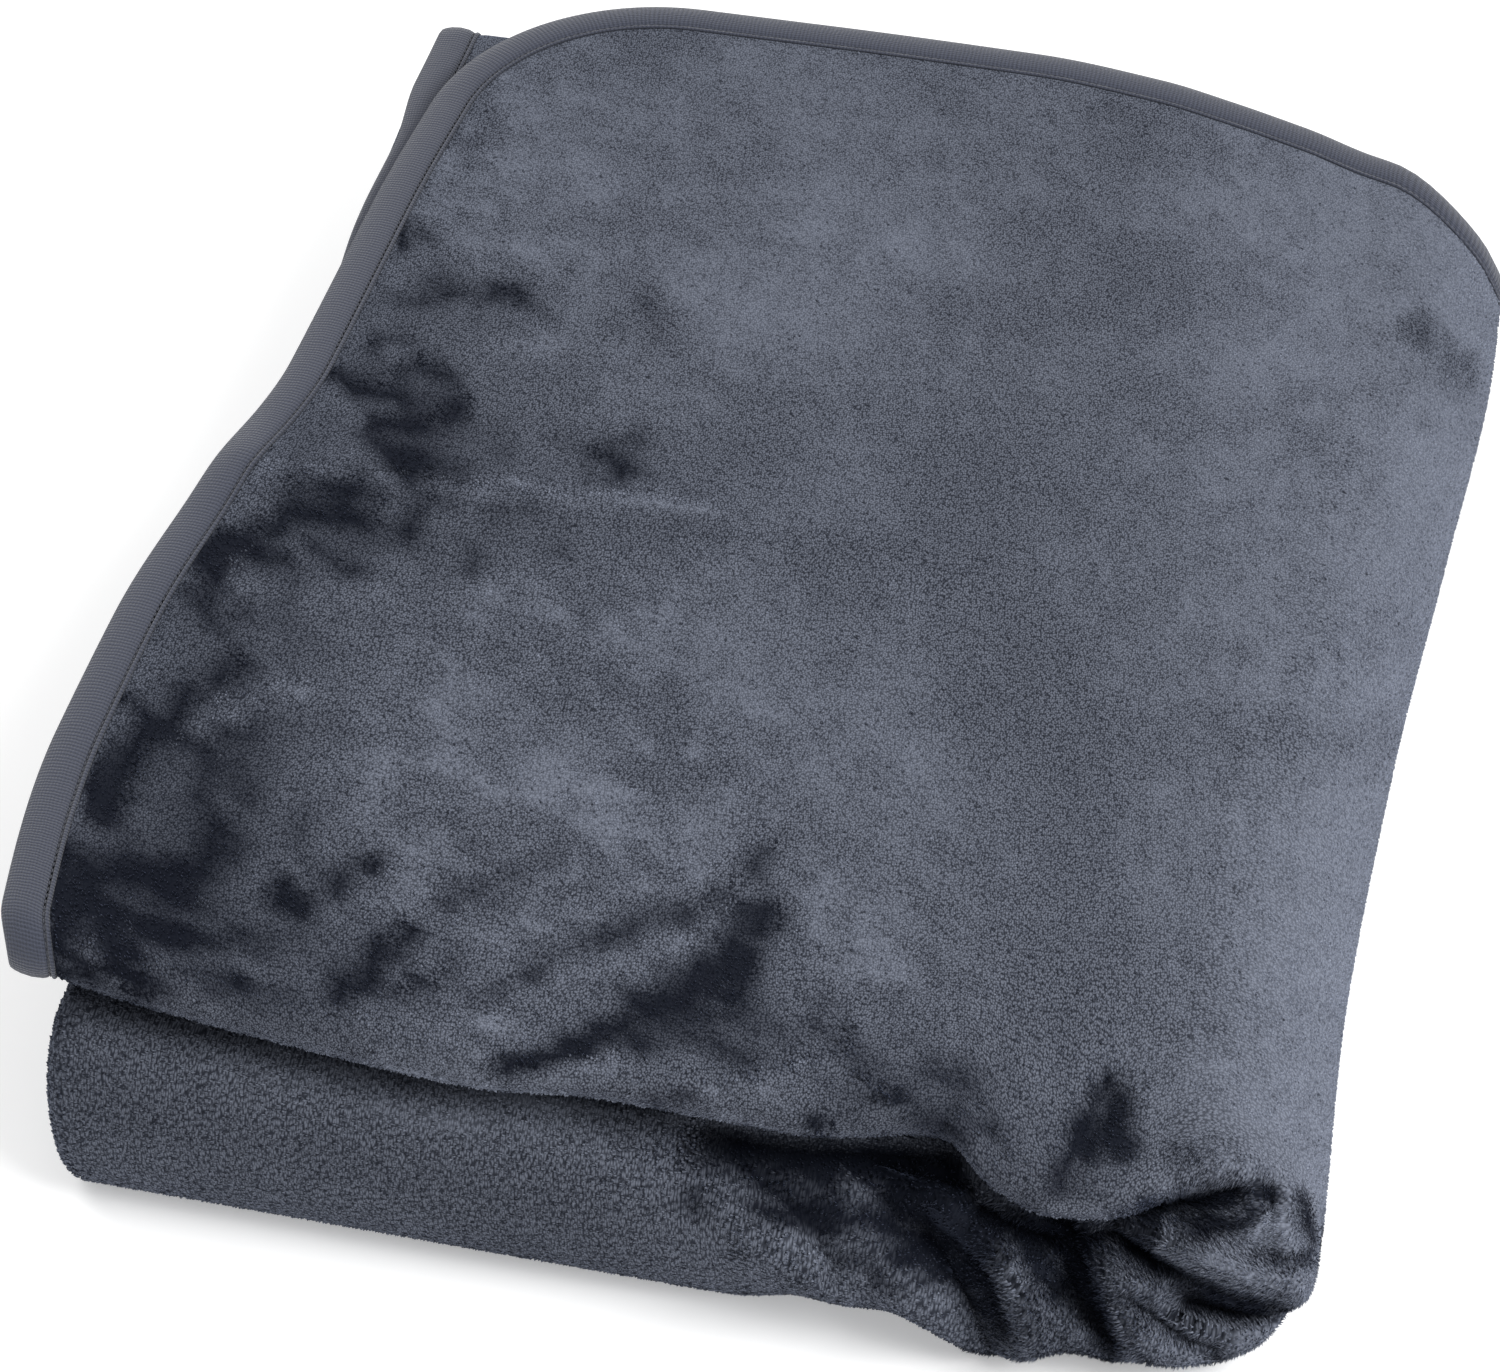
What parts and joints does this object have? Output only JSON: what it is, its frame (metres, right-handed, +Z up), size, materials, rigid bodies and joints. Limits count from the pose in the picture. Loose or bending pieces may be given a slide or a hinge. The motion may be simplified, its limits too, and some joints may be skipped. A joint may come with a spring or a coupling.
{
  "type": "folded waterproof blanket",
  "caption": "Plush waterproof blanket with a knitted edge binding, folded into a thick bundle with a rolled front edge. It lies flat and keeps bedding or seats dry.",
  "frame": {"origin": "bottom centre of the folded bundle's bounding box, on the surface it lies on", "axes": "+Z up. The rolled front edges face -Y, the bound back edge of the top panel faces +Y. +X to the right, where the bundle's smooth bend is."},
  "size_m": [0.5417, 0.7225, 0.1202],
  "materials": {
    "plush": "short brushed plush pile, dark blue-grey",
    "knit": "fine ribbed knit tape, dark neutral grey"
  },
  "bodies": {
    "root": {"blanket_cloth": "plush", "edge_binding": "knit"}
  },
  "joints": []
}
